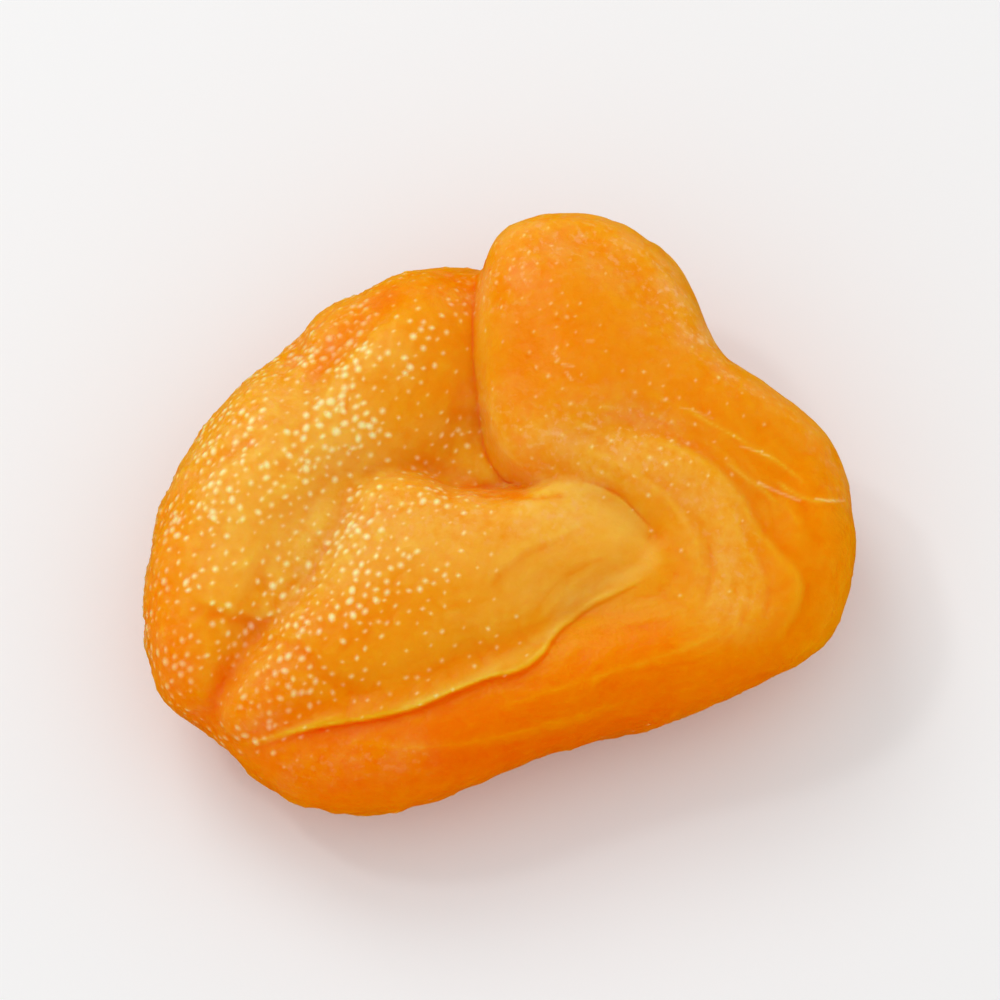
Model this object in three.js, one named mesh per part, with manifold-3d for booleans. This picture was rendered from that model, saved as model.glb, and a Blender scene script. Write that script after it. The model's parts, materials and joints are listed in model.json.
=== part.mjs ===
// A dried, pitted apricot lying on its back.
//
// With its stone squeezed out, the hollow fruit has dried flat and folded on itself. Thick folds
// of flesh run round a sunken middle: one long lobe down the left, a broad flap from the top that
// carries on as the right shoulder, an outer roll down the right and along the front with an
// inner ring beside it, and a tongue that lies across the front half and tucks its tip in under
// the flap. It is one piece.
//
// The floor of the hollow between the folds is flesh too, so nothing shows through.
//
// Units are millimetres. +X runs along the fruit's long side, +Y from the front towards the
// flap, and +Z up. The origin is under the middle of the fruit, on the surface it lies on.

import * as THREE from "three";
import { mergeVertices } from "three/addons/utils/BufferGeometryUtils.js";
import Module from "manifold-3d";

const wasm = await Module();
wasm.setup();

// Driving dimensions of the whole fruit.
const FRUIT = { width: 37, depth: 31.5, thickness: 13 };
const REST_SPOT_DEPTH = 0.9; // how much of the rounded back is pressed flat where the fruit lies

// Fineness of the folds.
const CUSHION_AROUND = 56;
const CUSHION_ROWS = 16;
const ROLL_AROUND = 24;
const ROLL_ALONG = 28;
const OUTLINE_SAMPLES = 360;
const MERGE_DISTANCE = 1e-4; // corners closer than this are one corner
const TIP = 1e-6; // a ring of the unit sphere smaller than this is its pole
const CUTTER = 100; // side of the block that cuts the resting spot, wider than the fruit

// How blunt a roll's two ends are: 2 is an ellipsoid, and more is closer to a sausage.
const ROLL_BLUNT = 2.6;

// A cushion is a flat fold with a drawn outline, seen from above. Its rim is the height of the
// outline, and top and bottom are those of its two faces. The slope is its rise towards +X and
// +Y, and blunt rounds its edge: 2 is an ellipse, and more is squarer.
const CUSHIONS = {
  body: {
    middle: [0, -1.4],
    rim: 5.4,
    top: 8.2,
    bottom: -0.9,
    slope: [0, 0],
    blunt: 2.2,
    outline: [
      [-1.1, 12.1], [0.2, 14.2], [3.5, 14.9], [6.9, 13.8], [9.2, 11.3], [10.5, 8.5], [12.7, 6.5],
      [15.2, 4.4], [16.8, 1.5], [17.5, -2.1], [16.4, -6.3], [13.9, -9], [11, -10.6],
      [7.8, -11.8], [4.1, -12.7], [0.6, -14.1], [-3.6, -15.8], [-5.8, -16.2], [-9.4, -16],
      [-12.1, -14.4], [-13.9, -12.6], [-16.4, -10.4], [-17.4, -6.9], [-17.4, -2.9], [-16.3, 1],
      [-14.3, 4.2], [-11.8, 6.9], [-9, 9.6], [-6.1, 11], [-3.1, 12.1],
    ],
  },
  leftLobe: {
    middle: [-11, 1.9],
    rim: 6.2,
    top: 10.4,
    bottom: 2,
    slope: [-0.03, 0.03],
    blunt: 2.5,
    outline: [
      [0.2, 13.4], [-3.3, 12.8], [-6.5, 11.6], [-9, 10.6], [-11, 8.8], [-13.8, 6.1],
      [-15.8, 3.6], [-17.3, 1], [-18.1, -1.1], [-18.6, -5.2], [-18.2, -8.6], [-17, -10.6],
      [-15.4, -10.8], [-13.8, -8.8], [-10.6, -3.6], [-8.8, -1.3], [-6, 1.3], [-3.7, 1.9],
      [-0.8, 5], [-0.2, 8.1], [0, 11.2],
    ],
  },
  flap: {
    middle: [7, 4.9],
    rim: 7.2,
    top: 12,
    bottom: 2.6,
    slope: [-0.15, 0.05],
    blunt: 2.5,
    outline: [
      [-1.2, 11.8], [0.2, 14.7], [3.7, 15.4], [7.3, 14.2], [9.8, 11.6], [11.2, 8.6], [13.5, 6.5],
      [16.2, 4.2], [18, 0.6], [18.1, -2], [17.4, -4.9], [15.8, -7], [12.6, -5.5], [11.2, -3.2],
      [9.8, -0.9], [7.5, -0.1], [3.5, -0.3], [0.8, 0.4], [-0.8, 2.6], [-1.3, 7.8],
    ],
  },
  tongue: {
    middle: [-3.3, -5],
    rim: 7.4,
    top: 10.9,
    bottom: 3,
    slope: [0.02, 0.07],
    blunt: 2.4,
    outline: [
      [-14.4, -13.4], [-14, -9.9], [-11.5, -6.9], [-9.8, -3.6], [-7.5, -0.1], [-4.8, 0.6],
      [-1.3, -0.4], [1.5, -0.5], [4.8, 0.1], [7.1, -1.6], [8.5, -3.8], [5.4, -5.8],
      [3.5, -7.2], [1.9, -9.1], [-1.3, -10.1], [-3.3, -11.2], [-7.1, -12.2], [-9.6, -12.7],
      [-11.9, -13.4],
    ],
  },
};

// A roll is a fold drawn out along a spine, from tip to tip. A station has its place on the
// spine's line (x, y, z) and the roll's half-width across and half-height there.
const station = (x, y, z, halfWidth, halfHeight) => ({
  at: new THREE.Vector3(x, y, z),
  halfWidth,
  halfHeight,
});

const ROLLS = {
  leftUpperCrest: [
    station(-0.5, 13.4, 4.8, 3.4, 3.6),
    station(-2.6, 10.4, 5.6, 5, 4.6),
    station(-4.8, 7.5, 5.8, 6, 5),
    station(-7.1, 4.8, 5.6, 6.2, 5),
    station(-8.9, 1.7, 5.4, 5.4, 4.7),
    station(-10.6, -2, 5, 4.4, 4.3),
  ],
  leftLowerCrest: [
    station(-7.9, 9.4, 4.8, 3.4, 3.6),
    station(-10.4, 6.4, 5.3, 4.6, 4.5),
    station(-12.3, 2.9, 5.6, 5.4, 5),
    station(-13.4, -0.8, 5.7, 5.4, 5.1),
    station(-14.2, -4.9, 5.4, 4.5, 4.5),
    station(-15.3, -8.9, 5.4, 3.6, 4.1),
    station(-15.2, -11.8, 5.2, 2.8, 3.7),
  ],
  valleyFloor: [
    station(-3.2, 4.8, 5, 1.6, 2.8),
    station(-4.8, 2.6, 5.2, 2, 3.3),
    station(-7.2, 0.9, 5.4, 2.2, 3.8),
    station(-9.2, -1.9, 5.4, 2.6, 4.2),
    station(-11.2, -5.3, 5.4, 2.8, 4.2),
    station(-13.2, -8.2, 5.2, 3, 4),
    station(-14.4, -10.9, 5, 2.8, 3.6),
  ],
  outerRoll: [
    station(11.5, 5.9, 6, 4, 4),
    station(13.5, 2.3, 6.1, 4.8, 4.4),
    station(14.6, -1.8, 6, 3.9, 4.5),
    station(13.3, -5.7, 5.8, 3.8, 4.4),
    station(10.2, -8, 5.6, 3.5, 4.2),
    station(4.4, -9.6, 5.4, 3.6, 4.2),
    station(-1.3, -11.1, 5.3, 4.1, 4.2),
    station(-7.1, -12.5, 5.2, 4.2, 4),
    station(-10.8, -12.7, 5.2, 3.8, 3.8),
    station(-13.6, -11.8, 5.2, 2.9, 3.4),
    station(-16.3, -9.7, 5.2, 2.2, 3),
  ],
  innerRing: [
    station(1, 2.1, 8.4, 2.2, 3.4),
    station(4, 1.9, 8.8, 3, 3.3),
    station(7.9, 1, 8.7, 3.6, 3),
    station(10.4, -1.1, 8.2, 3.9, 2.8),
    station(11, -4.1, 7.8, 4.2, 2.7),
    station(9.8, -6.5, 7.3, 4.3, 2.7),
    station(6.8, -7.9, 6.7, 4, 2.8),
    station(2.8, -9.2, 6.1, 3.4, 2.9),
    station(-1, -10.3, 5.6, 2.8, 2.9),
  ],
  tipToRing: [
    station(8.6, 0.4, 6.6, 1.6, 3),
    station(8.9, -2.3, 7, 2.4, 3.1),
    station(8.4, -4.4, 6.9, 2.8, 3.2),
    station(6.8, -6, 6.7, 2.8, 3),
    station(5, -7.4, 6.4, 2.4, 2.8),
    station(2.8, -8.7, 6, 1.8, 2.6),
  ],
};

/** A closed three.js geometry as a solid that can be joined and cut. */
function solidOf(geometry) {
  const plain = geometry.clone();
  plain.deleteAttribute("normal");
  plain.deleteAttribute("uv");
  const merged = mergeVertices(plain, MERGE_DISTANCE);
  return new wasm.Manifold(
    new wasm.Mesh({
      numProp: 3,
      vertProperties: merged.attributes.position.array,
      triVerts: new Uint32Array(merged.index.array),
    }),
  );
}

/** A joined solid as a three.js geometry with flat faces. */
function geometryOf(solid) {
  const mesh = solid.getMesh();
  const geometry = new THREE.BufferGeometry();
  geometry.setAttribute(
    "position",
    new THREE.BufferAttribute(mesh.vertProperties, 3),
  );
  geometry.setIndex(new THREE.BufferAttribute(mesh.triVerts, 1));
  const faceted = geometry.toNonIndexed();
  faceted.computeVertexNormals();
  return faceted;
}

/** How far a cushion's outline is from its middle, as a function of the direction in radians. */
function reachOf({ outline, middle }) {
  const corners = outline.map(([x, y]) => new THREE.Vector3(x - middle[0], y - middle[1], 0));
  const samples = new THREE.CatmullRomCurve3(corners, true, "centripetal")
    .getPoints(OUTLINE_SAMPLES)
    .map((p) => ({ turn: Math.atan2(p.y, p.x), reach: Math.hypot(p.x, p.y) }));
  const alignment = (turn, direction) => Math.cos(turn - direction);
  return (direction) =>
    samples.reduce((best, s) =>
      alignment(s.turn, direction) > alignment(best.turn, direction) ? s : best,
    ).reach;
}

/** A cushion: a unit sphere spread out to the outline and squared off towards its edge. */
function cushion(shape) {
  const reach = reachOf(shape);
  const power = 2 / shape.blunt;
  const geometry = new THREE.SphereGeometry(1, CUSHION_AROUND, CUSHION_ROWS);
  const position = geometry.getAttribute("position");
  const unit = new THREE.Vector3();
  for (let i = 0; i < position.count; i++) {
    unit.fromBufferAttribute(position, i);
    const direction = Math.atan2(-unit.z, unit.x);
    const radius = reach(direction) * Math.hypot(unit.x, unit.z) ** power;
    const x = Math.cos(direction) * radius;
    const y = Math.sin(direction) * radius;
    const face = (unit.y > 0 ? shape.top : shape.bottom) - shape.rim;
    const slope = shape.slope[0] * x + shape.slope[1] * y;
    const z = shape.rim + face * Math.abs(unit.y) ** power + slope;
    position.setXYZ(i, shape.middle[0] + x, shape.middle[1] + y, z);
  }
  return solidOf(geometry);
}

/** A width or height of the stations at a share t of the way along the spine's points. */
function between(stations, key, t) {
  const place = t * (stations.length - 1);
  const first = Math.min(Math.floor(place), stations.length - 2);
  const share = THREE.MathUtils.smoothstep(place - first, 0, 1);
  return THREE.MathUtils.lerp(
    stations[first][key],
    stations[first + 1][key],
    share,
  );
}

/** A roll of flesh: a unit sphere drawn out along the stations' spine, level with the ground. */
function roll(stations) {
  const spine = new THREE.CatmullRomCurve3(
    stations.map((s) => s.at),
    false,
    "centripetal",
  );
  const up = new THREE.Vector3(0, 0, 1);
  const geometry = new THREE.SphereGeometry(1, ROLL_AROUND, ROLL_ALONG);
  const position = geometry.getAttribute("position");
  const unit = new THREE.Vector3();
  for (let i = 0; i < position.count; i++) {
    unit.fromBufferAttribute(position, i);
    const ring = Math.hypot(unit.x, unit.z);
    const u = THREE.MathUtils.clamp((1 - unit.y) / 2, 0, 1);
    const centre = spine.getPointAt(u);
    const forward = spine.getTangentAt(u).setZ(0).normalize();
    const side = new THREE.Vector3().crossVectors(up, forward);
    const girth =
      ring > TIP ? (1 - Math.abs(unit.y) ** ROLL_BLUNT) ** (1 / ROLL_BLUNT) / ring : 0;
    const t = spine.getUtoTmapping(u, 0);
    centre.addScaledVector(side, unit.x * girth * between(stations, "halfWidth", t));
    centre.addScaledVector(up, unit.z * girth * between(stations, "halfHeight", t));
    position.setXYZ(i, centre.x, centre.y, centre.z);
  }
  return solidOf(geometry);
}

/** The solid moved and scaled so that it fills the fruit's width, depth and thickness. */
function fitToFruit(solid) {
  const { min, max } = solid.boundingBox();
  const scale = [
    FRUIT.width / (max[0] - min[0]),
    FRUIT.depth / (max[1] - min[1]),
    FRUIT.thickness / (max[2] - min[2]),
  ];
  return solid
    .translate([-(min[0] + max[0]) / 2, -(min[1] + max[1]) / 2, -min[2]])
    .scale(scale);
}

/** Everything below the resting plane cut away, which leaves the small flat spot. */
function restedAt(solid, height) {
  const below = new THREE.BoxGeometry(CUTTER, CUTTER, CUTTER);
  below.translate(0, 0, height - CUTTER / 2);
  return solid.subtract(solidOf(below));
}

const folds = [...Object.values(CUSHIONS).map(cushion), ...Object.values(ROLLS).map(roll)];
const flesh = folds.reduce((joined, next) => joined.add(next));
const apricot = fitToFruit(restedAt(flesh, CUSHIONS.body.bottom + REST_SPOT_DEPTH));

const mesh = new THREE.Mesh(
  geometryOf(apricot),
  new THREE.MeshStandardMaterial({
    color: new THREE.Color(0.93, 0.53, 0.1),
    roughness: 0.45,
    metalness: 0,
    flatShading: true,
  }),
);
mesh.name = "dried_apricot";

const group = new THREE.Group();
group.add(mesh);

export default group;
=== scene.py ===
"""A dried, pitted apricot lying on its back, folded into thick rolls of flesh.

The fruit is sculpted in millimetres the way it dried: rolls of flesh are blended into one body,
folds and pleats are carved into it, the skin wrinkles, and fine pimples rise where the skin is
still on the outside. The finished mesh is then brought to metres. Strokes and outlines are drawn
on the plane that faces the viewer: u runs to the right and v up, from the fruit's middle.
"""

from __future__ import annotations

import json
import logging
import math
from dataclasses import dataclass, field
from enum import Enum

import bmesh
import bpy
import numpy as np
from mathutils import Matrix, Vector, kdtree, noise

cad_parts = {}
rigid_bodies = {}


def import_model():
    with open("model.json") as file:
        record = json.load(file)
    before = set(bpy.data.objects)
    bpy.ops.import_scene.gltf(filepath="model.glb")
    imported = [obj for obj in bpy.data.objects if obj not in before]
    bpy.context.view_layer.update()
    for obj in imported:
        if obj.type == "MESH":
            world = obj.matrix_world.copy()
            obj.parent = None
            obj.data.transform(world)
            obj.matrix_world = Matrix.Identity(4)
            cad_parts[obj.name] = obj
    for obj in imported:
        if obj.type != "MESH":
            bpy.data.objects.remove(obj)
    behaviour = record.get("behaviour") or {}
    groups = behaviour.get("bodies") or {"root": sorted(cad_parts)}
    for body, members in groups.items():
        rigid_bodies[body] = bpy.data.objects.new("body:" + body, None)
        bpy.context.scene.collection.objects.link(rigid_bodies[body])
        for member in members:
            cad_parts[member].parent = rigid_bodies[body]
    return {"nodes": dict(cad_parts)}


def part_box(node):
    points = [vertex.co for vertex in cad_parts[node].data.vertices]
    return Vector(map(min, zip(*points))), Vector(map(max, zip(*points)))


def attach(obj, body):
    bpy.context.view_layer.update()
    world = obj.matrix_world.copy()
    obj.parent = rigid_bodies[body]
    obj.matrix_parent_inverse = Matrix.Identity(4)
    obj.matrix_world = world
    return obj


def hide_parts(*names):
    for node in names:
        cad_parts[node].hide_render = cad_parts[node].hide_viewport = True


LOG = logging.getLogger("dried_apricot")
NODE = "dried_apricot"

EYE_ELEVATION = math.radians(70.0)
"""How steeply the viewer, and the carver who draws the strokes, looks down on the fruit."""

RISE, RUN = math.sin(EYE_ELEVATION), math.cos(EYE_ELEVATION)
TO_VIEWER = (0.0, -RUN, RISE)

MIDDLE_HEIGHT = 6.0
"""The height over the floor of the middle of the facing plane, in millimetres."""

Line = tuple[tuple[float, float], ...]
"""The u and v of the points that a smooth curve runs through, in millimetres."""

Face = tuple[np.ndarray, np.ndarray]
"""The u and the v of all the skin's vertices, in millimetres."""


def seen(u: float, v: float, z: float) -> tuple[float, float, float]:
    """Find the place at height z that the viewer sees at u and v, all in millimetres."""
    return u, (v - RUN * (z - MIDDLE_HEIGHT)) / RISE, z


def facing(co: np.ndarray) -> tuple[np.ndarray, np.ndarray, np.ndarray]:
    """Measure places, one row each, to the viewer's right, upwards, and towards the viewer."""
    height = co[:, 2] - MIDDLE_HEIGHT
    return co[:, 0], RISE * co[:, 1] + RUN * height, RISE * height - RUN * co[:, 1]


def smooth_curve(knots: np.ndarray, samples: int) -> np.ndarray:
    """Follow a smooth curve through knots, at evenly spread places.

    Args:
        knots: The knots, one row each.
        samples: How many places to return.

    Returns:
        The places, one row each.
    """
    padded = np.vstack([2 * knots[0] - knots[1], knots, 2 * knots[-1] - knots[-2]])
    place = np.linspace(0, len(knots) - 1, samples)
    first = np.minimum(place.astype(int), len(knots) - 2)
    t = (place - first)[:, None]
    a, b, c, d = (padded[first + k] for k in range(4))
    return 0.5 * (
        2 * b + (c - a) * t + (2 * a - 5 * b + 4 * c - d) * t**2 + (3 * b - a - 3 * c + d) * t**3
    )


def smoothstep(low: float, high: float, value: np.ndarray) -> np.ndarray:
    """Rise smoothly from 0 at low to 1 at high."""
    t = np.clip((value - low) / (high - low), 0.0, 1.0)
    return t * t * (3 - 2 * t)


def from_least(least: float, share: float) -> float:
    """Rise from the least to 1 as the share rises from 0 to 1."""
    return least + (1 - least) * share


def by_angle(edge: np.ndarray) -> tuple[np.ndarray, np.ndarray]:
    """Describe a closed edge by the directions of its points from the origin, in order.

    Args:
        edge: The edge's points, one row each.

    Returns:
        Each point's direction in radians, and how far out it lies.
    """
    turn = np.arctan2(edge[:, 1], edge[:, 0])
    order = np.argsort(turn)
    return turn[order], np.hypot(*edge[order].T)


@dataclass(frozen=True)
class Roll:
    """A roll of flesh, drawn out from tip to tip along a spine that lies level.

    Each station is a place along the spine, in millimetres: the u and v where the viewer sees
    it, its height, and half the roll's width and thickness there.
    """

    stations: tuple[tuple[float, float, float, float, float], ...]
    blunt: float = 2.6
    samples: int = 240
    around: int = 40
    along: int = 56

    def add_to(self, bm: bmesh.types.BMesh) -> None:
        """Add the roll to a mesh as one closed skin.

        Args:
            bm: The mesh under construction, in millimetres.
        """
        knots = np.array([[*seen(u, v, z), *halves] for u, v, z, *halves in self.stations])
        values = smooth_curve(knots, self.samples)
        steps = np.linalg.norm(np.diff(values[:, :3], axis=0), axis=1)
        share = np.concatenate([[0.0], np.cumsum(steps)])
        share /= share[-1]
        forward = np.gradient(values[:, :2], axis=0)
        forward /= np.linalg.norm(forward, axis=1)[:, None]
        made = bmesh.ops.create_uvsphere(bm, u_segments=self.around, v_segments=self.along, radius=1.0)
        for vert in made["verts"]:
            axial = max(-1.0, min(1.0, vert.co.z))
            ring = math.hypot(vert.co.x, vert.co.y)
            girth = (1 - abs(axial) ** self.blunt) ** (1 / self.blunt) / ring if ring > 1e-5 else 0.0
            at = (axial + 1) / 2
            x, y, z, wide, high = (np.interp(at, share, values[:, k]) for k in range(5))
            fx, fy = (np.interp(at, share, forward[:, k]) for k in range(2))
            across = vert.co.x * girth * wide
            vert.co = (x + fy * across, y - fx * across, z + vert.co.y * girth * high)


@dataclass(frozen=True)
class Cushion:
    """A flat cushion of flesh, with its outline and its middle drawn as the viewer sees them.

    The rim is the height of its outline, and the top and bottom those of its two faces. The tilt
    is how much it rises per millimetre towards +X and +Y.
    """

    outline: Line
    middle: tuple[float, float]
    rim: float
    top: float
    bottom: float
    tilt: tuple[float, float] = (0.0, 0.0)
    blunt: float = 2.5
    samples: int = 600
    around: int = 120
    along: int = 48

    def add_to(self, bm: bmesh.types.BMesh) -> None:
        """Add the cushion to a mesh as one closed skin.

        Args:
            bm: The mesh under construction, in millimetres.
        """
        middle = seen(*self.middle, self.rim)[:2]
        edge = np.array([seen(u, v, self.rim)[:2] for u, v in self.outline])
        turn, reach = by_angle(smooth_curve(np.vstack([edge, edge[:1]]), self.samples) - middle)
        made = bmesh.ops.create_uvsphere(bm, u_segments=self.around, v_segments=self.along, radius=1.0)
        power = 2 / self.blunt
        for vert in made["verts"]:
            ring = math.hypot(vert.co.x, vert.co.y)
            angle = math.atan2(vert.co.y, vert.co.x)
            radius = float(np.interp(angle, turn, reach, period=2 * math.pi)) * ring**power
            x, y = math.cos(angle) * radius, math.sin(angle) * radius
            limit = (self.top if vert.co.z > 0 else self.bottom) - self.rim
            height = limit * abs(vert.co.z) ** power
            z = self.rim + height + self.tilt[0] * x + self.tilt[1] * y
            vert.co = (middle[0] + x, middle[1] + y, z)


class Mark(Enum):
    """What a carving stroke leaves."""

    GROOVE = "a round valley pressed in along the line"
    CREASE = "a fold with round sides that meet in a sharp line"
    RIDGE = "a round crest raised along the line"
    WIRE = "a thin, sharp crest"
    SHELF = "a step: the left of the line stands up, and the right stays low"
    EDGE = "the edge of a thin sheet: the right of the line drops sharply and comes back slowly"


GROOVE, CREASE, RIDGE, WIRE, SHELF, EDGE = Mark
SHARP = (CREASE, WIRE)
PRESSED = (CREASE, GROOVE)

FINE_WIDTH = 0.3
"""Round and stepped strokes narrower than this are drawn last, in millimetres."""

PIECES = 8
"""How many short straight pieces a drawn line is measured by, for each of its points."""


def follow(line: Line, face: Face) -> tuple[np.ndarray, np.ndarray, float]:
    """Measure the skin's vertices against a line.

    Args:
        line: The line.
        face: The vertices.

    Returns:
        How far each vertex lies to the left of the line, negative on its right; how far along the
        line it lies; and the line's whole length.
    """
    u, v = face
    curve = smooth_curve(np.array(line), PIECES * len(line))
    best, side, run = np.full(len(u), np.inf), np.ones(len(u)), np.zeros(len(u))
    lengths = np.linalg.norm(np.diff(curve, axis=0), axis=1)
    begun = np.concatenate([[0.0], np.cumsum(lengths)])
    for k, length in enumerate(lengths):
        (ax, ay), (bx, by) = curve[k], curve[k + 1]
        tx, ty = (bx - ax) / length, (by - ay) / length
        reach = np.clip((u - ax) * tx + (v - ay) * ty, 0.0, length)
        dx, dy = u - ax - reach * tx, v - ay - reach * ty
        away = np.hypot(dx, dy)
        nearer = away < best
        best = np.where(nearer, away, best)
        side = np.where(nearer, np.where(tx * dy - ty * dx >= 0, 1.0, -1.0), side)
        run = np.where(nearer, begun[k] + reach, run)
    return best * side, run, float(begun[-1])


@dataclass(frozen=True)
class Stroke:
    """A stroke of the carver's tool.

    The depth is how far the skin moves and the width how sharp the mark is, in millimetres. The
    taper is the share of the line over which each end dies out, and the fade how far from the
    line a step dies away.
    """

    line: Line
    mark: Mark
    depth: float
    width: float
    taper: float
    fade: float = 0.0

    @property
    def fine(self) -> bool:
        """Whether the stroke is drawn last, on the finest mesh."""
        return self.mark in SHARP or self.width < FINE_WIDTH

    def push(self, face: Face) -> np.ndarray:
        """Work out how far the stroke moves the skin towards the viewer.

        Args:
            face: The skin's vertices.

        Returns:
            The moves in millimetres; inward ones are negative.
        """
        offset, run, length = follow(self.line, face)
        share = run / length
        strength = self.depth * smoothstep(0.0, 1.0, np.minimum(share, 1 - share) / self.taper)
        if self.mark is SHELF:
            step = strength * 0.5 * np.tanh(offset / self.width)
            return step * np.exp(-((offset / self.fade) ** 2))
        if self.mark is EDGE:
            beyond = np.clip(-offset, 0, None)
            return -strength * smoothstep(0.0, self.width, beyond) * np.exp(-beyond / self.fade)
        away = np.abs(offset) / self.width
        profile = np.exp(-away) if self.mark in SHARP else np.exp(-(away**2))
        return strength * profile * (-1 if self.mark in PRESSED else 1)


def strokes(*rows: tuple) -> tuple[Stroke, ...]:
    """Make strokes from rows of a mark, its depth, width, taper and fade, and the line."""
    return tuple(Stroke(tuple(line), mark, *cut) for mark, cut, *line in rows)


@dataclass(frozen=True)
class Fibres:
    """Fine folds that run side by side along a guide line, in millimetres.

    The reach is how far they spread from the line, apart and long are how wide and how long a
    fold is, and the waver is how far it wanders. The ends are the share of the line over which
    the folds die out.
    """

    reach: float
    height: float
    apart: float
    long: float
    line: Line
    ends: float = 0.15
    waver: float = 0.5
    least: float = 0.002

    def push(self, face: Face) -> np.ndarray:
        """Work out how far the folds move the skin towards the viewer.

        Args:
            face: The skin's vertices.

        Returns:
            The moves in millimetres.
        """
        u, v = face
        offset, run, length = follow(self.line, face)
        strength = self.height * np.exp(-((offset / self.reach) ** 4))
        share = run / length
        strength *= smoothstep(0.0, self.ends, share) * smoothstep(0.0, self.ends, 1 - share)
        offset = offset + self.waver * np.sin(0.7 * u + 0.4 * v) * np.cos(0.5 * v - 0.3 * u)
        push = np.zeros(len(u))
        for k in np.flatnonzero(np.abs(strength) > self.least):
            coarse = Vector((run[k] / self.long, offset[k] / self.apart, self.reach))
            fine = Vector((2 * run[k] / self.long, 2.6 * offset[k] / self.apart, -self.reach))
            push[k] = strength[k] * (ridged(coarse) - 0.75 + 0.4 * noise.noise(fine))
        return push


OUTLINE = (
    (-1.2, 12.1), (-0.8, 13.1), (0.2, 14.2), (1.9, 14.8), (3.7, 14.9), (5.6, 14.6), (7.3, 13.8),
    (8.7, 12.7), (9.8, 11.3), (10.6, 9.8), (11.2, 8.5), (11.9, 7.5), (13.5, 6.5), (15, 5.4), (16.2, 4.4),
    (17.3, 3.1), (17.9, 1.5), (18.4, -0.6), (18.6, -2.1), (18.3, -4.2), (17.5, -6.3), (16.3, -7.9),
    (14.8, -9), (13.1, -10), (11.7, -10.6), (9.6, -11.3), (8.3, -11.8), (6.2, -12.2), (4.4, -12.7),
    (2.5, -13.3), (0.6, -14.1), (-1.3, -14.9), (-3.8, -15.8), (-6.2, -16.2), (-8.1, -16.3), (-10, -16),
    (-11.4, -15.3), (-12.9, -14.4), (-13.9, -13.4), (-14.8, -12.6), (-16.4, -11.5), (-17.5, -10.4),
    (-18.1, -9), (-18.5, -6.9), (-18.6, -4.8), (-18.5, -2.9), (-18.1, -1), (-17.3, 1), (-16.3, 2.7),
    (-15.2, 4.2), (-13.8, 5.8), (-12.5, 6.9), (-11, 8.3), (-9.6, 9.6), (-8.5, 10.2), (-7.5, 10.5),
    (-6.5, 11), (-5.2, 11.7), (-3.3, 12.1),
)
"""The fruit's outline as the viewer sees it, clockwise from the flap's corner.

The lobes that reach it share its points.
"""

BODY_SHARE, BODY_DROP = 0.94, 0.2
"""How large the body under the lobes is beside the outline, and how much lower it lies."""

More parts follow.
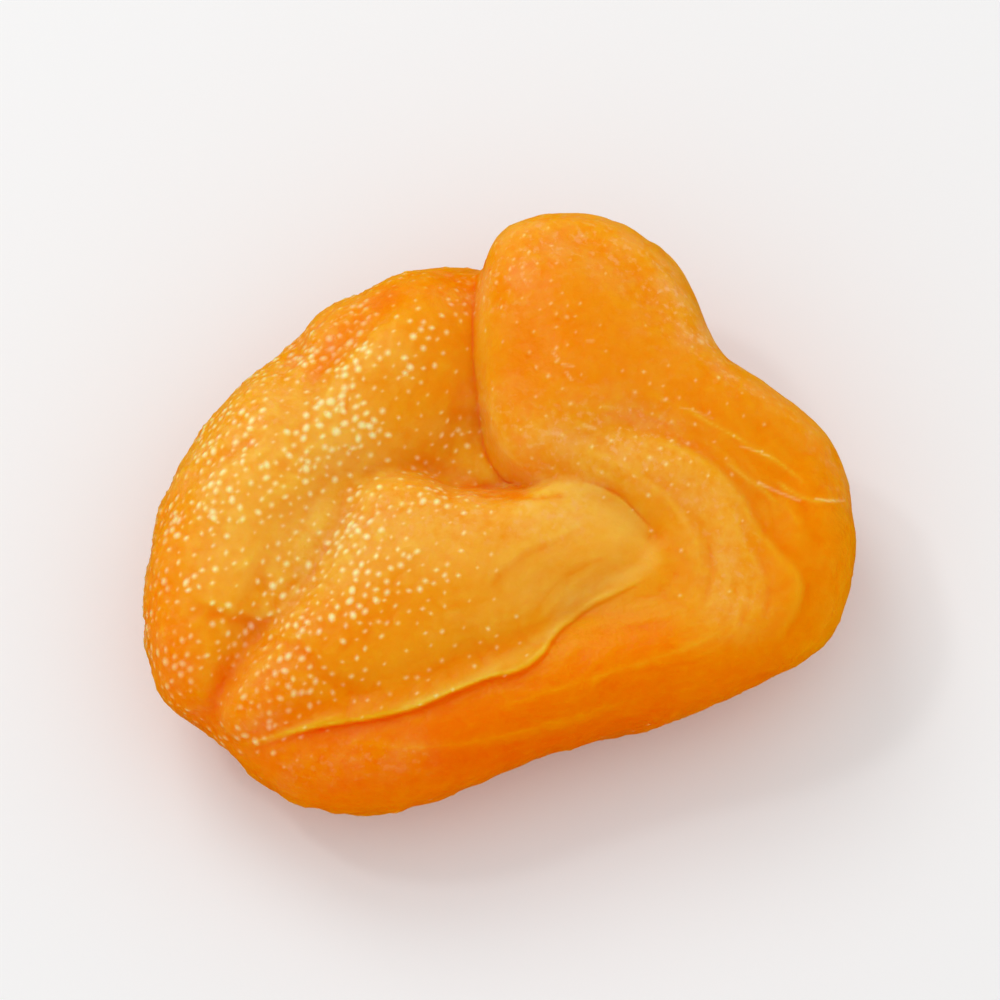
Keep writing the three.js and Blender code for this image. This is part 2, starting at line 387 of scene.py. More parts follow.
LOBES: tuple[Cushion | Roll, ...] = (
    Cushion(  # the body
        tuple((BODY_SHARE * u, BODY_SHARE * v - BODY_DROP) for u, v in OUTLINE),
        middle=(0, -1.5), rim=5.4, top=8.2, bottom=-0.9, blunt=2.2,
    ),
    Cushion(  # the long lobe down the left
        (
            (0.2, 12.7), *OUTLINE[58:54:-1], (-9, 10), *OUTLINE[53:43:-1], (-18.5, -6.7), (-18.3, -8.7),
            (-17.7, -10.2), (-16.5, -11.3), (-15.2, -11.3), (-14.8, -10), (-14, -8.5), (-12.9, -7.1),
            (-11.3, -5.8), (-10, -3.3), (-8.8, -1.2), (-7.5, 0.4), (-6, 1.3), (-3.7, 1.9), (-2.1, 2.9),
            (-0.8, 4.8), (-0.2, 7.7), (0, 10.6),
        ),
        middle=(-11, 1.9), rim=6.2, top=10.4, bottom=2, tilt=(-0.03, 0.03),
    ),
    Roll((  # its upper crest
        (-0.5, 12.2, 4.8, 3.4, 3.6), (-2.6, 9.6, 5.6, 5, 4.6), (-4.8, 7, 5.8, 6, 5),
        (-7.1, 4.4, 5.6, 6.2, 5), (-8.9, 1.4, 5.4, 5.4, 4.7), (-10.6, -2.2, 5, 4.4, 4.3),
    )),
    Roll((  # its lower crest
        (-7.9, 8.4, 4.8, 3.4, 3.6), (-10.4, 5.8, 5.3, 4.6, 4.5), (-12.3, 2.6, 5.6, 5.4, 5),
        (-13.4, -0.9, 5.7, 5.4, 5.1), (-14.2, -4.8, 5.4, 4.5, 4.5), (-15.3, -8.6, 5.4, 3.6, 4.1),
        (-15.2, -11.4, 5.2, 2.8, 3.7),
    )),
    Roll((  # what fills the crease between this lobe and the tongue
        (-3.2, 4.2, 5, 1.6, 2.8), (-4.8, 2.2, 5.2, 2, 3.3), (-7.2, 0.6, 5.4, 2.2, 3.8),
        (-9.2, -2, 5.4, 2.6, 4.2), (-11.2, -5.2, 5.4, 2.8, 4.2), (-13.2, -8, 5.2, 3, 4),
        (-14.4, -10.6, 5, 2.8, 3.6),
    )),
    Cushion(  # the flap at the top, with the shoulder that runs down its right
        (
            (-1.2, 11.5), *OUTLINE[1:16], (18, 1), (18.1, -1.5), (17.4, -4.2), (15.8, -6.2), (14, -6.3),
            (12.6, -4.8), (11.2, -2.6), (9.8, -0.4), (7.5, 0.3), (5.4, 0.1), (3.5, 0.1), (2.1, 0.3),
            (0.8, 0.8), (0, 1.5), (-0.8, 2.9), (-1.2, 4.8), (-1.3, 7.7), (-1.3, 9.6),
        ),
        middle=(7, 5), rim=7.2, top=12, bottom=2.6, tilt=(-0.15, 0.05),
    ),
    Roll((  # the outer roll, down the right and along the front
        (11.5, 5.5, 6, 4, 4), (13.5, 2.2, 6.1, 4.8, 4.4), (14.6, -1.7, 6, 3.9, 4.5),
        (13.3, -5.4, 5.8, 3.8, 4.4), (10.2, -7.7, 5.6, 3.5, 4.2), (4.4, -9.2, 5.4, 3.6, 4.2),
        (-1.3, -10.7, 5.3, 4.1, 4.2), (-7.1, -12, 5.2, 4.2, 4), (-10.8, -12.2, 5.2, 3.8, 3.8),
        (-13.6, -11.4, 5.2, 2.9, 3.4), (-16.3, -9.4, 5.2, 2.2, 3),
    )),
    Roll((  # the inner ring, round the tongue's tip
        (1, 2.8, 8.4, 2.2, 3.4), (4, 2.7, 8.8, 3, 3.3), (7.9, 1.9, 8.7, 3.6, 3),
        (10.4, -0.3, 8.2, 3.9, 2.8), (11, -3.2, 7.8, 4.2, 2.7), (9.8, -5.7, 7.3, 4.3, 2.7),
        (6.8, -7.2, 6.7, 4, 2.8), (2.8, -8.6, 6.1, 3.4, 2.9), (-1, -9.8, 5.6, 2.8, 2.9),
    )),
    Roll((  # where the tongue's tip grows into the ring
        (8.6, 0.6, 6.6, 1.6, 3), (8.9, -1.8, 7, 2.4, 3.1), (8.4, -3.8, 6.9, 2.8, 3.2),
        (6.8, -5.4, 6.7, 2.8, 3), (5, -6.8, 6.4, 2.4, 2.8), (2.8, -8.2, 6, 1.8, 2.6),
    )),
    Cushion(  # the inner tongue
        (
            (-14.4, -12.1), (-14.8, -10.6), (-14, -8.8), (-12.9, -7.3), (-11.5, -6), (-10.6, -4.4),
            (-9.8, -2.9), (-8.8, -1.2), (-7.5, 0.4), (-6.2, 0.9), (-4.8, 1), (-3.7, 0.8), (-2.9, 0.2),
            (-1.3, 0.1), (1.5, 0), (3.1, 0.4), (4.8, 0.6), (6, 0), (7.1, -1), (8.1, -2.1), (8.5, -3.1),
            (7.3, -4.2), (5.4, -5), (4.4, -5.5), (3.5, -6.3), (2.7, -7.3), (1.9, -8.1), (0.6, -8.7),
            (-1.3, -9), (-3.3, -10), (-5.2, -10.6), (-7.1, -11), (-9.6, -11.5), (-11.9, -12.1),
            (-13.5, -12.5),
        ),
        middle=(-3.3, -4.2), rim=7.4, top=10.9, bottom=3, tilt=(0.02, 0.07), blunt=2.4,
    ),
)

STROKES = strokes(
    (SHELF, (0.9, 0.45, 0.35, 2),  # the furrow down the left lobe's shoulder
        (-3.8, 12.3), (-4.6, 11.2), (-5.6, 9.6), (-7.1, 8.3), (-8.6, 7.1), (-9.2, 5.8), (-9.6, 4.2),
        (-9.8, 2.9),
    ),
    (CREASE, (0.1, 0.35, 0.4),  # its crease
        (-4.2, 11.7), (-5, 10.5), (-6, 9.2), (-7.4, 8.1), (-8.7, 7), (-9.2, 5.8), (-9.5, 4.6),
    ),
    (RIDGE, (0.22, 0.6, 0.25),  # the bead round the flap's top
        (-0.8, 12.5), (0.2, 13.8), (2.1, 14.3), (4.4, 14.2), (6.5, 13.3), (8.3, 11.7), (9.6, 10),
        (10.6, 8.3), (11.7, 6.7),
    ),
    (GROOVE, (0.25, 0.9, 0.3),  # the hollow inside that bead
        (0.6, 12.1), (1.9, 13.1), (3.7, 13.2), (5.4, 12.5), (6.9, 11.2), (8.3, 9.4), (9.2, 7.7),
    ),
    (RIDGE, (0.18, 0.4, 0.2),  # the bead down the flap's left side
        (-0.9, 11.5), (-1, 9.2), (-0.9, 6.9), (-0.7, 4.8), (-0.1, 3.1), (0.8, 1.7), (2.1, 1), (3.8, 0.7),
        (5.4, 0.6),
    ),
    (GROOVE, (0.35, 0.4, 0.3),  # a short furrow across it
        (-11.3, 3.3), (-12.1, 3), (-13.5, 2.7), (-15.6, 1.5), (-16.7, 0.4), (-17.5, -0.8),
    ),
    (GROOVE, (0.3, 0.9, 0.25),  # the valley between the left lobe and the tongue
        (-6.7, 0.6), (-8.3, -1.2), (-9.7, -3.1), (-10.9, -4.6), (-11.7, -6.2),
    ),
    (CREASE, (0.1, 0.3, 0.3),  # the line where it is deepest
        (-6.9, 0.8), (-8, -1), (-9, -2.7), (-10.1, -4.3), (-11.2, -5.7),
    ),
    (WIRE, (0.06, 0.16, 0.3),  # the left lobe's bright rim beside it
        (-14, -5.8), (-12.9, -6), (-11.7, -5.8), (-11, -5.2), (-10.2, -4), (-9.2, -2.5),
    ),
    (GROOVE, (0.3, 0.55, 0.25),  # the soft groove from the notch to the corner
        (-11.3, -5.9), (-12.1, -6.9), (-13, -8.1), (-14, -9.3), (-14.7, -10.3),
    ),
    (GROOVE, (0.25, 0.5, 0.5), (-14.5, -9.7), (-14.6, -10.1)),  # the dimple at its end
    (SHELF, (0.5, 0.26, 0.4, 1.6),  # the left lobe's lower lip
        (-16.7, -4.6), (-15.8, -5.2), (-14.8, -5.6), (-13.7, -5.9), (-12.5, -6), (-11.5, -5.6), (-10.9, -5),
    ),
    (GROOVE, (0.2, 0.8, 0.3), (-13.7, -6.7), (-12.7, -6.8), (-11.9, -6.5)),  # the notch under the lip
    (SHELF, (-0.6, 0.3, 0.15, 1.3),  # the tongue's upper edge
        (-8.7, -1.2), (-8.1, -0.2), (-7.3, 0.6), (-6.2, 1), (-4.8, 1.1), (-3.7, 0.8), (-2.9, 0.3),
        (-1.3, 0.1), (0.6, 0), (2.5, 0.2),
    ),
    (EDGE, (0.55, 0.18, 0.3, 1.5),  # the tongue's thin lower edge
        (-14, -13.1), (-12.1, -12.4), (-9.6, -11.6), (-7.3, -11.2), (-4.9, -10.7), (-2.8, -9.9),
        (-0.7, -9.1), (0.6, -8.8), (1.4, -8.4), (2.1, -7.8), (2.5, -7.2), (3, -6.6), (3.7, -6.1),
        (4.6, -5.4),
    ),
    (EDGE, (0.2, 0.18, 0.3, 1.3),  # where it runs out towards the tip
        (1.9, -8), (2.5, -7.2), (3, -6.6), (3.7, -6.1), (4.6, -5.4), (5.8, -4.8), (7, -4.2), (7.9, -3.6),
    ),
    (WIRE, (0.07, 0.12, 0.12),  # its bright rim
        (-12.1, -12.4), (-9.6, -11.6), (-7.3, -11.2), (-4.9, -10.6), (-2.8, -9.8), (-0.7, -9), (0.5, -8.7),
        (1.3, -8.3), (2, -7.7), (2.4, -7.1), (2.9, -6.5), (3.6, -6), (4.5, -5.3), (5.7, -4.7), (6.9, -4.1),
    ),
    (GROOVE, (0.3, 1.3, 0.3),  # the dish in the flap
        (1.9, 11), (1.2, 8.7), (1.3, 6), (2.5, 4.5), (4, 3.8), (6.3, 3.6), (9, 3.1), (11, 2.1),
    ),
    (SHELF, (-0.4, 0.16, 0.25, 1.8),  # the inner ring's outer step
        (4.8, 4), (6.3, 3.6), (9, 2.9), (10.9, 1.7), (12.4, 0.1), (13.2, -1.3), (14.3, -2.6), (15.5, -3.9),
        (15.4, -5.5), (14.3, -7.3), (12.7, -8.7),
    ),
    (SHELF, (-0.15, 0.14, 0.3, 1.2),  # a second, fainter step inside it
        (9.8, 1.5), (11.2, 0.6), (12.1, -0.8), (12.7, -2.3), (13.5, -4), (13.3, -6), (11.9, -7.5),
    ),
    (SHELF, (-0.14, 0.16, 0.3, 1.2),  # a third, close to the tip
        (6.3, 1.3), (8.1, 0.6), (9.4, -0.8), (10.2, -2.5), (10.2, -4.2), (9.4, -5.8),
    ),
    (SHELF, (0.22, 0.22, 0.3, 1.2),  # the edge of the tongue's flat top
        (-1.3, -5), (-0.2, -3.9), (0.8, -2.9), (1.7, -2.4), (3, -2), (3.9, -1.4), (4.6, -0.8),
    ),
    (CREASE, (0.08, 0.35, 0.3),  # the pleat below it
        (6.7, -2.6), (5.8, -2.8), (4.4, -3.4), (2.9, -4.3), (1.7, -5.8), (1.2, -6.9),
    ),
    (RIDGE, (0.24, 0.9, 0.4),  # the raised plate on its smooth side
        (1.3, -6.9), (2.7, -5.9), (4.1, -4.7), (5.8, -3.8),
    ),
    (GROOVE, (0.06, 1.4, 0.3),  # the hollow of its smooth side
        (4.8, -2.1), (3.1, -3.7), (1.3, -5.6), (-0.4, -7.3), (-2.5, -8.7),
    ),
    (GROOVE, (0.25, 0.45, 0.3),  # a fold across its left half
        (-11.5, -7.3), (-10.2, -7.9), (-9, -9), (-7.7, -9.8), (-6, -10),
    ),
    (WIRE, (0.06, 0.3, 0.3),  # the faint ridges along the front
        (-9.6, -11.6), (-6.7, -12.5), (-3.3, -12.6), (0.2, -12.1), (4.4, -11), (8.3, -9.8),
    ),
    (WIRE, (0.12, 0.2, 0.25), (-14, -12.7), (-11.7, -12.1), (-9, -11.2), (-7.5, -10.8)),
    (WIRE, (0.06, 0.3, 0.3), (-1.3, -10.8), (2.5, -9.8), (6.7, -8.5), (10.2, -7.3), (12.5, -5.8)),
    (CREASE, (0.36, 0.24, 0.1),  # the gap under the flap's rim
        (-1.3, 12.1), (-1.5, 9.6), (-1.5, 7.1), (-1.3, 4.8), (-1, 2.9), (-0.3, 1.4), (0.6, 0.6), (1.7, 0.1),
    ),
    (CREASE, (0.24, 0.26, 0.25),  # the line along the tongue's tip
        (-0.4, 0.3), (1, 0), (2.3, 0), (3.7, 0.2),
    ),
    (EDGE, (0.3, 0.2, 0.4, 0.8),  # the tongue's edge at its tip
        (8.1, -2.5), (7.7, -1.8), (6.9, -0.9), (6, 0), (4.7, 0.6), (3.3, 0.8),
    ),
    (GROOVE, (0.35, 0.35, 0.4), (7.3, -1.6), (7.8, -2), (8.1, -2.5)),  # the tongue tip's small pit
    (GROOVE, (0.7, 0.4, 0.3), (-1.7, 0.5), (-0.5, 0.4), (0.6, 0.5)),  # the pit of the hollow
    (WIRE, (0.12, 0.12, 0.3),  # fine lines on the right wall
        (9.2, 4.8), (10.4, 4.1), (11.5, 3.5), (13.3, 2.5),
    ),
    (WIRE, (0.14, 0.12, 0.3), (12.3, 2.8), (13.7, 2.2), (14.8, 1.5), (15.8, 0.6)),
    (WIRE, (0.16, 0.11, 0.15), (14, 1), (15, 0.3), (15.7, 0), (16.3, -0.1), (17.7, -0.1)),
    (WIRE, (0.1, 0.12, 0.3), (11, 2.3), (12.3, 1.3), (13.5, 0.4), (14.8, -0.7)),
    (GROOVE, (0.2, 0.5, 0.3),
        (13.7, 1.3), (14.8, 0.4), (15.7, -0.8), (16.2, -2.3), (16.2, -4.2), (15.6, -6),
    ),
    (GROOVE, (0.15, 0.5, 0.3), (12.5, 4.4), (14, 3.3), (15.6, 2.1)),
    (CREASE, (0.08, 0.3, 0.3),  # wrinkles that run round the ring
        (9.4, 0.2), (10.4, -1.7), (10.8, -3.7), (10.2, -5.8),
    ),
    (CREASE, (0.04, 0.3, 0.3), (5.4, -5.4), (7.9, -5), (9.8, -5.8), (10.8, -7.1)),
    (CREASE, (0.05, 0.3, 0.3), (3.7, -7.3), (6.3, -6.5), (9, -6.9)),
    (GROOVE, (0.15, 0.5, 0.4), (-12.9, 1.3), (-11.3, 1.6), (-9.8, 1.4)),  # soft folds in the left lobe
    (RIDGE, (0.15, 0.6, 0.4), (-12.5, 0.4), (-11, 0.5), (-9.4, 0.6)),
    (GROOVE, (0.12, 0.45, 0.4), (-12.3, -1), (-10.8, -0.6), (-9.2, -0.4)),
    (GROOVE, (0.14, 0.4, 0.4), (-5, 7.5), (-3.8, 6.7), (-2.7, 5.6)),
    (GROOVE, (0.2, 0.4, 0.3), (-1.7, 5), (-2.5, 3.7), (-3.3, 2.3)),
)


def through(mesh: bpy.types.Mesh, *modifiers: tuple[str, dict]) -> bpy.types.Mesh:
    """Put a mesh through modifiers and keep the result.

    Args:
        mesh: The mesh to change. It is removed.
        modifiers: Each modifier's type and its settings, in order.

    Returns:
        The changed mesh.
    """
    carrier = bpy.data.objects.new("carrier", mesh)
    bpy.context.scene.collection.objects.link(carrier)
    for kind, settings in modifiers:
        modifier = carrier.modifiers.new(kind.lower(), kind)
        for name, value in settings.items():
            setattr(modifier, name, value)
    shaped = carrier.evaluated_get(bpy.context.evaluated_depsgraph_get())
    made = bpy.data.meshes.new_from_object(shaped)
    bpy.data.objects.remove(carrier)
    bpy.data.meshes.remove(mesh)
    return made


def remesh(cell: float) -> tuple[str, dict]:
    """Name the modifier that makes one even skin, with faces of about a cell's width."""
    return "REMESH", {"mode": "VOXEL", "voxel_size": cell, "adaptivity": 0.0}


def smooth(iterations: int, factor: float = 0.5) -> tuple[str, dict]:
    """Name the modifier that smooths the skin."""
    return "SMOOTH", {"factor": factor, "iterations": iterations}


COLUMN = 0.7
"""The width of the columns in which the skin nearest to the viewer hides the rest."""

FACED = (-0.15, 0.35)
"""How far the skin turns to the viewer where it starts to be seen, and where it is in full."""

BEHIND = (2.0, 3.0)
"""How far behind the nearest skin the rest starts to be hidden, and where it is in full."""

BACK_UP, BACK_AWAY = (0.5, -0.05), (0.3, -0.4)
"""How far up, and to the viewer, the skin faces where the back begins, and where it is in full."""

PUSHED_FROM, SHADED_FROM = smooth(12, 0.9), smooth(40, 0.9)
# The soft average of the skin that wrinkles stand on, and the one that the colour goes by: paler above it,
# deeper below it, partly as painted highlight and painted shade.
"""The soft average of the skin that wrinkles stand on, and the one that its colour goes by."""


@dataclass(frozen=True)
class Skin:
    """The places and normals of the skin's vertices at one moment, one row each."""

    co: np.ndarray
    no: np.ndarray

    @property
    def face(self) -> Face:
        """Where the viewer sees each vertex."""
        return facing(self.co)[:2]

    @property
    def toward(self) -> np.ndarray:
        """How far the skin turns to the viewer at each vertex, from -1 to 1."""
        return self.no[:, 2] * RISE - self.no[:, 1] * RUN

    @property
    def in_view(self) -> np.ndarray:
        """How openly the viewer sees each vertex.

        Returns:
            The share of each that is seen, from 0 where the skin is hidden to 1.
        """
        u, v, w = facing(self.co)
        column = np.floor((u - u.min()) / COLUMN).astype(int)
        row = np.floor((v - v.min()) / COLUMN).astype(int)
        nearest = np.full((column.max() + 1, row.max() + 1), -np.inf)
        np.maximum.at(nearest, (column, row), w)
        hidden = nearest[column, row] - w
        return smoothstep(*FACED, self.toward) * (1 - smoothstep(*BEHIND, hidden))


def read(mesh: bpy.types.Mesh) -> Skin:
    """Read the skin of a mesh as it is now.

    Args:
        mesh: The mesh.

    Returns:
        Its skin.
    """
    rows = []
    for what in ("co", "normal"):
        values = np.empty(len(mesh.vertices) * 3, np.float32)
        mesh.vertices.foreach_get(what, values)
        rows.append(values.reshape(-1, 3).astype(float))
    return Skin(*rows)


class Mask(Enum):
    """What the skin's attributes say, from 0 to 1 at each vertex; painted light and shade ride in them."""

    # how high on a pimple each vertex is, and where the painted glints are: almost white highlights painted
    # into the colour
    PIMPLES_AND_GLINTS = "grain"
    # how pale the flesh is: its own colour, with painted highlight on crests and lit slopes and painted
    # shade in creases, on the sides and underneath
    TONE_LIGHT_AND_SHADE = "tone"
    # the dull bloom: partly the dried skin's own, partly a painted sheen where the skin faces the light
    BLOOM_AND_SHEEN = "bloom_and_painted_sheen"


def ridged(place: Vector) -> float:
    """Give noise with sharp crests and round valleys, from 0 to 1."""
    return 1 - abs(noise.noise(place))


@dataclass(frozen=True)
class Wrinkles:
    """A layer of wrinkles.

    The height and spacing are millimetres. Sharp is how far the valleys are sharp folds between
    round pads, from 0 to 1. On the sides and back the layer is on_back times as high, and on
    the grainy skin that the viewer sees it is higher by on_skin of its height.
    """

    height: float
    spacing: float
    sharp: float
    seed: float
    on_back: float = 1.0
    on_skin: float = 0.0

    def rise(self, place: Vector) -> float:
        """Give the layer's height at a place, for a height of 1."""
        value = noise.noise(place / self.spacing + Vector((self.seed, -self.seed, 2 * self.seed)))
        return (1 - self.sharp) * value + self.sharp * (2 * abs(value) - 0.5)


@dataclass(frozen=True)
class Puckers:
    """The broad folds that run up the sides and over the back.

    About six of them go round the fruit for each 1 of around. The rest is millimetres: how high
    they stand, how tall they run, and how wide the bends in them are.
    """

    around: float = 3.4
    height: float = 0.34
    tall: float = 9.0
    bend: float = 3.0

    def rise(self, place: Vector) -> float:
        """Give the folds' height at a place, for a height of 1.

        Args:
            place: Where, in millimetres.

        Returns:
            How far the skin stands out there.
        """
        turn = math.atan2(place.y, place.x) + 0.25 * noise.noise(place / self.bend)
        spoke = (self.around * math.cos(turn), self.around * math.sin(turn), place.z / self.tall)
        return 2 * abs(noise.noise(Vector(spoke))) - 0.4


@dataclass(frozen=True)
class Grain:
    """The fine pimples of the outer skin, in millimetres.

    They start across the bare edge, thinly at first, and stand thicker further from it and
    underneath. The gap between two is the closest where they are thickest. It is wider by sparse
    of that on barely grainy skin, and by up to twice as much between the patches in which they
    gather. Where the skin is grainy by less than the first of stray, it is the second times as
    wide, and where it is grainy by less than bare, there are none.

    The radius and height are the largest pimple's, and the rest are shares of its size: faint
    where the skin is barely grainy, usual where they neither gather nor thin out, and shrunk
    the least between the patches. The smallest pimple keeps the narrowest and lowest shares.
    """

    start: tuple[float, float] = (-0.6, 1.2)
    thicken: tuple[float, float] = (1.5, 8.5)
    thin: float = 0.4
    underneath: float = 0.55
    closest: float = 0.36
    sparse: float = 1.2
    uneven: tuple[float, float] = (0.75, 1.7)
    patch: float = 2.2
    patchy: float = 1.1
    stray: tuple[float, float] = (0.1, 1.5)
    bare: float = 0.04
    radius: float = 0.4
    height: float = 0.1
    sizes: tuple[float, float] = (0.1, 1.0)
    faint: float = 0.2
    usual: float = 0.85
    shrunk: float = 0.4
    narrowest: float = 0.65
    lowest: float = 0.4
    seed: int = 11

    def thinned(self, place: Vector) -> float:
        """Tell how far the pimples thin out at a place, from about -1, in a patch, to 1."""
        return noise.noise(place / self.patch) + 0.5 * noise.noise(place / (self.patch / 2))


@dataclass(frozen=True)
class ToneLightAndShade:
    """How the colour follows the shape, from 0 for the deepest flesh to 1 for the palest.

    Skin is paler by the rise for each millimetre that it stands above its own soft average, and
    by the crest more within a narrower span, and deeper where it lies below it. This is partly the
    flesh's own colour and partly painted highlight on crests and painted shade in hollows and
    creases. It is deeper at its sides, as painted shade where the skin turns down, and more so
    where the viewer doesn't see it. The spans are how far the skin stands up, or how far it faces
    up, where each of these starts and ends.
    """

    usual: float = 0.5
    # paler on crests and deeper in hollows: partly the flesh's own colour, partly painted highlight and
    # painted shade
    rise: float = 0.5
    rise_span: tuple[float, float] = (-0.5, 0.3)
    crest: float = 0.8
    crest_span: tuple[float, float] = (-0.08, 0.08)
    # painted shade where the skin turns sideways and down
    side: float = 0.12
    side_shade_span: tuple[float, float] = (0.4, -0.2)
    # more painted shade on the sides and back that the viewer doesn't see
    unseen_shade: float = 0.22
    unseen_shade_span: tuple[float, float] = (0.7, 0.0)
    unseen_frost: float = 0.15


@dataclass(frozen=True)
class Brush:
    """A soft brush stroke on the side that the viewer sees, in millimetres."""

    reach: float
    amount: float
    line: Line

    def laid(self, face: Face) -> np.ndarray:
        """Work out how much the stroke leaves at each of the skin's vertices."""
        away, _, _ = follow(self.line, face)
        return self.amount * np.exp(-((away / self.reach) ** 2))


def brushes(*rows: tuple) -> tuple[Brush, ...]:
    """Make brush strokes from rows of a reach, an amount and the line's points."""
    return tuple(Brush(reach, amount, tuple(line)) for reach, amount, *line in rows)


WRINKLES = (
    Wrinkles(height=0.20, spacing=6.0, sharp=0.0, seed=3.1, on_back=1.8),
    Wrinkles(height=0.07, spacing=2.6, sharp=0.8, seed=8.7, on_back=3.4),
    Wrinkles(height=0.035, spacing=1.1, sharp=0.7, seed=15.3, on_back=2.6, on_skin=0.8),
    Wrinkles(height=0.02, spacing=0.55, sharp=0.3, seed=21.9, on_back=1.2, on_skin=1.5),
)

FIBRES = (
    Fibres(3, 0.08, 0.75, 7, (  # round the ring, from the flap to the front
        (2, 5), (5, 3.4), (8, 2.4), (10.6, 0.6), (11.9, -2), (11.6, -4.8), (9.4, -7), (5.5, -8.6),
        (1, -10.4), (-4, -12),
    )),
    Fibres(2.6, 0.07, 0.9, 8, (  # down the right wall
        (9.5, 8.5), (12, 5), (15.2, 1.8), (16.6, -2), (15.6, -6), (12, -9.2),
    )),
    Fibres(3.4, 0.07, 1.1, 6, (  # along the tongue, to its tip
        (-3.5, -6.5), (-0.5, -5.2), (2.5, -3.8), (5.5, -2.4), (7.8, -2),
    )),
    Fibres(2.4, 0.05, 0.8, 9, (  # along the front
        (14, -8.5), (8, -10.4), (1, -11.6), (-6, -13), (-12, -13.4),
    )),
    Fibres(5, 0.08, 1.4, 3.5, (  # down the left lobe
        (-2.5, 10.5), (-6.5, 6), (-10.5, 2), (-13.5, -3), (-15.5, -8.5),
    )),
)
"""The fine folds that the flesh dried into on the side that faces the viewer."""

# The flesh's own paler and deeper patches, with painted light and shade among them.
TINTS_LIGHT_AND_SHADE = brushes(
    (3.6, 0.36, (-6.5, 8), (-10.5, 3.5), (-12.8, 1), (-14, -2)),
    (1.8, -0.26, (-18, -1), (-18.3, -6), (-16.5, -11)),
    (1.3, 0.14, (-9, 2.6), (-6, 1.9)),
    (1.4, 0.1, (-8, 3.2), (-3.5, 3.8)),
    (2.4, -0.1, (-0.9, 11), (-1.4, 6.5), (-2, 4.4)),
    (0.9, 0.1, (-1.2, 6), (-0.9, 3.8)),
    (1.2, 0.12, (-2.6, 2.8), (-1.2, 1.4)),
    (2.4, 0.3, (-8.5, -3), (-5.5, -1.8), (-1, -2.2), (3.5, -1.6), (7, -1.6)),
    (1.6, 0.12, (-6.5, -8.5), (-2, -7), (2.5, -5)),
    (1.2, 0.2, (1, -4.4), (3.5, -5), (5.6, -3.8)),
    (2.2, 0.22, (2, 3), (6.5, 2.4), (10.5, -0.5), (11.8, -4)),
    (1.2, -0.18, (8.3, 0.2), (9.2, -3.2)),
    (1.5, 0.06, (-0.4, 9), (1, 13.2), (4.5, 13.8), (8, 11.5), (10.3, 8.2)),
    (3, -0.36, (-12, -14.4), (-4, -14.4), (5, -12), (12.5, -9.4)),
    (1.4, -0.18, (-9, -12.2), (-2, -11), (4.5, -8.8), (8, -7)),
    (2.2, -0.09, (16.8, 1.5), (17, -3), (15, -7.5)),
    (0.8, -0.08, (-14.6, -10), (-13.4, -8.2), (-12.6, -7.4)),
    (1.4, -0.14, (-14.8, -12.2), (-12, -10.6)),
    (0.7, -0.26, (-9.6, 6.3), (-8.2, 8.3), (-5.8, 10.4)),
    (0.35, 0.2, (7.4, -3.4), (4, -5), (2, -7.1), (-0.8, -8.7), (-5, -10.6)),
    (0.5, 0.14, (-1, 11), (-1.1, 7), (-0.9, 4.5), (-0.1, 2.4)),
    (0.4, 0.24, (-0.1, 2.6), (0.9, 1.3), (2.4, 0.8), (5, 0.6)),
    (0.9, 0.16, (1.4, -0.6), (4.5, -0.5), (6.6, -1.2)),
    (0.9, -0.1, (-0.5, 2.2), (2.5, 1.9)),
    (0.4, -0.35, (-1.9, 0.6), (-0.4, 0.4), (1, 0.2)),
    (0.5, -0.16, (5.4, 0.7), (6.8, -0.1), (7.9, -1.4), (8.4, -2.4)),
    (2.6, -0.06, (2.5, 9.5), (4.5, 6.5)),
    (1.3, -0.22, (-11, 8), (-8.8, 9.4), (-5.6, 11), (-2.6, 11.7)),
    (1.3, 0.16, (7, -5.4), (10.5, -6), (12.6, -7.4)),
    (1.6, 0.08, (-3.6, -3.4), (-0.8, -4.2)),
    (1.2, 0.08, (-4, -5.6), (-0.8, -6.4)),
    (0.8, 0.1, (-13.4, -6.8), (-12, -6.4)),
    (0.9, 0.1, (-10.4, -0.8), (-8.2, 1.6)),
    (1.2, 0.1, (-12.6, -3.4), (-9.6, -1.4)),
    (1.1, 0.08, (8.6, -3.4), (8.8, -5.8), (10.6, -8)),
    (1, -0.1, (-6.6, 8.6), (-4.8, 9.8)),
    (1, 0.07, (-1.4, 9), (-1.2, 4.6), (-3, 3.6)),
    (1, -0.14, (-3, -13.2), (3.6, -12.3), (8, -11.4)),
    (1.2, 0.1, (9.4, -2), (11.4, -4.6), (12.6, -6.4)),
    (1.3, -0.14, (-8.8, 7.3), (-7.2, 6.2)),
    (1.3, -0.08, (-4.8, 8.9), (-3.4, 8.3)),
    (1, 0.08, (-10, -13.7), (-5, -12.9)),
)
# Where the colour is paler or deeper on the side that faces the viewer: partly the flesh's own patches,
# partly painted light and shade, such as the deeper orange along the lower front and under the upper rim.
"""Where the colour is paler or deeper on the side that faces the viewer."""

CREST_HIGHLIGHT_CREASE_SHADE = {WIRE: 0.21, CREASE: -0.06}
# How much paler a thin crest is, as painted highlight, and how much deeper a crease, as painted shade.
"""How much paler a thin crest is, and how much deeper a crease."""

